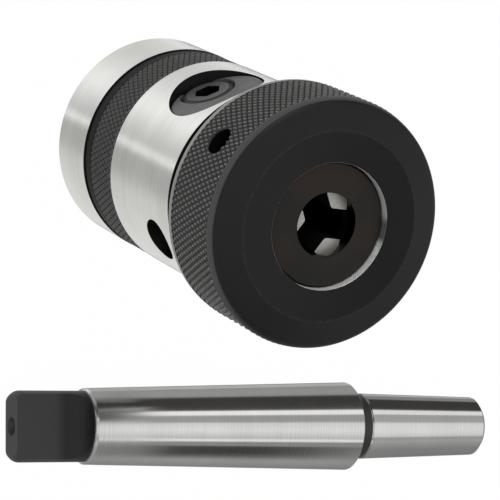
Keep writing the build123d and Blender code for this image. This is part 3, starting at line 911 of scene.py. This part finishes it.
class TAPPING_OT_clutch(bpy.types.Operator):
    """Finish the clutch pieces and the jaw nut that lie inside the head"""

    bl_idname = "tapping_head.clutch"
    bl_label = "Clutch Pieces"

    def execute(self, context):
        finishes = context.scene.tapping_finish
        turned = turned_metal("turned_steel", (0.46, 0.455, 0.44), 0.34)
        for node in (
            "pressure_plate", "clutch_nut", "spring_seat", "jaw_nut_half_1",
            "jaw_nut_half_2", "thrust_washer", "drive_keys",
        ):
            coat_node(node, turned)
        coat_node("disc_springs", turned_metal("spring_steel", (0.20, 0.20, 0.21), 0.38))
        coat_node("hub_bush", turned_metal("bush_bronze", (0.58, 0.38, 0.16), 0.32))
        lining = lining_grit("lining_brown", (0.10, 0.07, 0.05))
        coat_node("friction_disc_rear", lining)
        coat_node("friction_disc_front", lining)
        coat_node("clutch_nut_screw", black_oxide("nut_screw_black", finishes))
        return {"FINISHED"}


class TAPPING_OT_arbor(bpy.types.Operator):
    """Finish the loose taper arbor: bright tapers, black tang and neck"""

    bl_idname = "tapping_head.arbor"
    bl_label = "Taper Arbor"

    def execute(self, context):
        coat_node("taper_arbor", arbor_finish("arbor_ground", context.scene.tapping_finish))
        return {"FINISHED"}


def lay_floor(size):
    """A pale floor that the camera sees as white, with a faint shadow under the object."""
    mesh = bmesh.new()
    bmesh.ops.create_grid(mesh, x_segments=8, y_segments=8, size=size / 2)
    floor = link_mesh("floor", mesh)
    material, recipe = new_material("floor_pale")
    camera, glass, mirror = (
        recipe.node("ShaderNodeLightPath", out=f"Is {ray} Ray")
        for ray in ("Camera", "Transmission", "Glossy")
    )
    matt = recipe.node("ShaderNodeBsdfDiffuse", None, {"Color": (0.8, 0.8, 0.8, 1.0)})
    white = recipe.node("ShaderNodeEmission", None, {"Color": (1.0, 1.0, 1.0, 1.0)})
    clear = recipe.node("ShaderNodeBsdfTransparent")
    shown = recipe.node("ShaderNodeMixShader", None, {0: 0.99, 1: matt, 2: white})
    mixed = recipe.node("ShaderNodeMixShader", None, {0: camera.most(glass), 1: matt, 2: shown})
    mixed = recipe.node("ShaderNodeMixShader", None, {0: mirror, 1: mixed, 2: clear})
    recipe.node("ShaderNodeOutputMaterial", None, {"Surface": mixed})
    floor.data.materials.append(material)


def band_ramp(recipe, angle, bands):
    """Panels over one whole turn: each an angle in degrees, a brightness and perhaps a tint."""
    stops = []
    for degrees, value, *tint in bands:
        stops.append((degrees / 360 + 0.5, toned(tint[0] if tint else PLAIN, value)))
    turn = angle / (2 * math.pi) + 0.5
    return recipe.node("ShaderNodeValToRGB", {"stops": stops}, {"Fac": turn})


def light_room():
    """Studio walls and floor as soft panels: bands over the arbor, and panels round the head."""
    world = bpy.data.worlds.new("studio")
    bpy.context.scene.world = world
    world.use_nodes = True
    recipe = Recipe(world.node_tree)
    east, north, up = recipe.split(recipe.node("ShaderNodeTexCoord", out="Generated"))

    # Angle round the arbor, 0 straight up, and round the head's axis
    across = Vector((ARBOR_AXIS.y, -ARBOR_AXIS.x)).normalized()
    if across.y > 0:
        across = -across
    level = east * across.x + north * across.y
    roll = recipe.node("ShaderNodeMath", {"operation": "ARCTAN2"}, {0: level, 1: up})
    bearing = recipe.node("ShaderNodeMath", {"operation": "ARCTAN2"}, {0: north, 1: east})
    long_taper = band_ramp(recipe, roll, (
        (-150, 0.50), (-93, 0.49), (-84, 0.38), (-75, 0.19), (-67, 0.10), (-60, 0.055),
        (-45, 0.05), (-40, 0.10), (-37, 0.40), (-27, 0.36), (-24, 1.20), (-19, 1.20),
        (-17, 0.80), (-10, 0.86), (-4, 1.00), (7, 1.14), (20, 1.04), (25, 1.02),
        (28, 0.62), (32, 0.50), (46, 0.50), (49, 1.30), (59, 1.30), (62, 0.15),
        (69, 0.075, BROWN), (98, 0.065, BROWN), (104, 0.10), (110, 0.42),
        (118, 0.48), (150, 0.50),
    ))
    short_taper = band_ramp(recipe, roll, (
        (-150, 0.45), (-100, 0.36), (-80, 0.34), (-52, 0.46), (-40, 0.55), (-32, 0.50),
        (-26, 0.50), (-21, 0.90), (-10, 1.05), (3, 1.12), (22, 1.08), (27, 1.00),
        (33, 0.58), (58, 0.52), (61, 1.15), (75, 1.15), (80, 0.12),
        (86, 0.07, BROWN), (126, 0.06, BROWN), (134, 0.38), (150, 0.42),
    ))
    round_head = band_ramp(recipe, bearing, (
        (-167, 0.86), (-143, 0.80), (-119, 0.90), (-103, 1.04), (-87, 1.20), (-76, 1.22),
        (-64, 1.06), (-50, 0.85), (-36, 0.70), (-33, 1.28), (-29, 1.28), (-25, 0.57),
        (-7, 0.57), (3, 0.60), (14, 0.80), (49, 0.88), (95, 0.86), (113, 0.80),
        (121, 0.36), (154, 0.36), (162, 0.94),
    ))

    # The dark pool under the long taper is short, and the short taper has bands of its own
    along = east * ARBOR_AXIS.x + north * ARBOR_AXIS.y + up * ARBOR_AXIS.z
    pool = along.between(0.352, 0.40) * (1.0 - along.between(0.43, 0.48))
    low_side = 1.0 - (roll / math.radians(1.0)).between(-39.0, -37.0)
    over_arbor = recipe.blend(long_taper, (0.46, 0.46, 0.455), low_side * (1.0 - pool))
    over_arbor = recipe.blend(over_arbor, short_taper, along.between(0.49, 0.51))
    # The head's upright sides mirror what lies steeply below
    bands = recipe.blend(round_head, over_arbor, up.between(-0.80, -0.74))
    camera = recipe.node("ShaderNodeLightPath", out="Is Camera Ray")
    shown = recipe.blend(bands, (1.0, 1.0, 1.0), camera)
    backdrop = recipe.node("ShaderNodeBackground", None, {"Color": shown})
    recipe.node("ShaderNodeOutputWorld", None, {"Surface": backdrop})


def hang_lamp(name, place, power):
    """A square soft lamp that looks at the head."""
    data = bpy.data.lights.new(name, "AREA")
    data.shape = "RECTANGLE"
    data.size = data.size_y = 0.5
    data.energy = power
    lamp = bpy.data.objects.new(name, data)
    lamp.location = place
    lamp.rotation_euler = (HEAD_MIDDLE - lamp.location).to_track_quat("-Z", "Y").to_euler()
    bpy.context.scene.collection.objects.link(lamp)
    lamp.visible_camera = False


class TAPPING_OT_stage(bpy.types.Operator):
    """Set the pale floor, the soft lamps and the camera"""

    bl_idname = "tapping_head.stage"
    bl_label = "Stage"

    def execute(self, context):
        stage = context.scene.tapping_stage
        lay_floor(stage.floor_size)
        light_room()
        hang_lamp("key_lamp", (-0.25, -0.85, 0.55), stage.key_power)
        hang_lamp("fill_lamp", (0.9, 0.3, 0.6), stage.fill_power)
        data = bpy.data.cameras.new("camera")
        data.sensor_width = 36.0
        data.lens = stage.lens
        data.clip_start = 0.01
        camera = bpy.data.objects.new("camera", data)
        turn = Matrix((CAMERA_RIGHT, CAMERA_UP, CAMERA_BACK)).transposed().to_4x4()
        camera.matrix_world = Matrix.Translation(CAMERA_PLACE) @ turn
        context.scene.collection.objects.link(camera)
        context.scene.camera = camera
        context.scene.view_settings.view_transform = "Standard"
        return {"FINISHED"}


OPERATORS = (
    TAPPING_OT_front_cap,
    TAPPING_OT_torque_ring,
    TAPPING_OT_sleeves,
    TAPPING_OT_chuck,
    TAPPING_OT_clutch,
    TAPPING_OT_arbor,
    TAPPING_OT_stage,
)


class TAPPING_PT_panel(bpy.types.Panel):
    """Lists the steps and the sizes and colours that they use"""

    bl_idname = "TAPPING_PT_panel"
    bl_label = "Tapping Head"
    bl_space_type = "VIEW_3D"
    bl_region_type = "UI"
    bl_category = "Tapping Head"

    def draw(self, context):
        layout = self.layout
        for operator in OPERATORS:
            layout.operator(operator.bl_idname)
        for name in ("tapping_knurl", "tapping_finish", "tapping_stage"):
            box = layout.box()
            group = getattr(context.scene, name)
            for key in group.__annotations__:
                box.prop(group, key)


GROUPS = (
    (KnurlSettings, "tapping_knurl"),
    (FinishSettings, "tapping_finish"),
    (StageSettings, "tapping_stage"),
)


def register():
    for group, name in GROUPS:
        bpy.utils.register_class(group)
        setattr(bpy.types.Scene, name, bpy.props.PointerProperty(type=group))
    for operator in OPERATORS:
        bpy.utils.register_class(operator)
    bpy.utils.register_class(TAPPING_PT_panel)


def unregister():
    bpy.utils.unregister_class(TAPPING_PT_panel)
    for operator in reversed(OPERATORS):
        bpy.utils.unregister_class(operator)
    for group, name in reversed(GROUPS):
        delattr(bpy.types.Scene, name)
        bpy.utils.unregister_class(group)


def main():
    register()
    bpy.ops.tapping_head.front_cap()
    bpy.ops.tapping_head.torque_ring()
    bpy.ops.tapping_head.sleeves()
    bpy.ops.tapping_head.chuck()
    bpy.ops.tapping_head.clutch()
    bpy.ops.tapping_head.arbor()
    bpy.ops.tapping_head.stage()


if __name__ == "__main__":
    main()
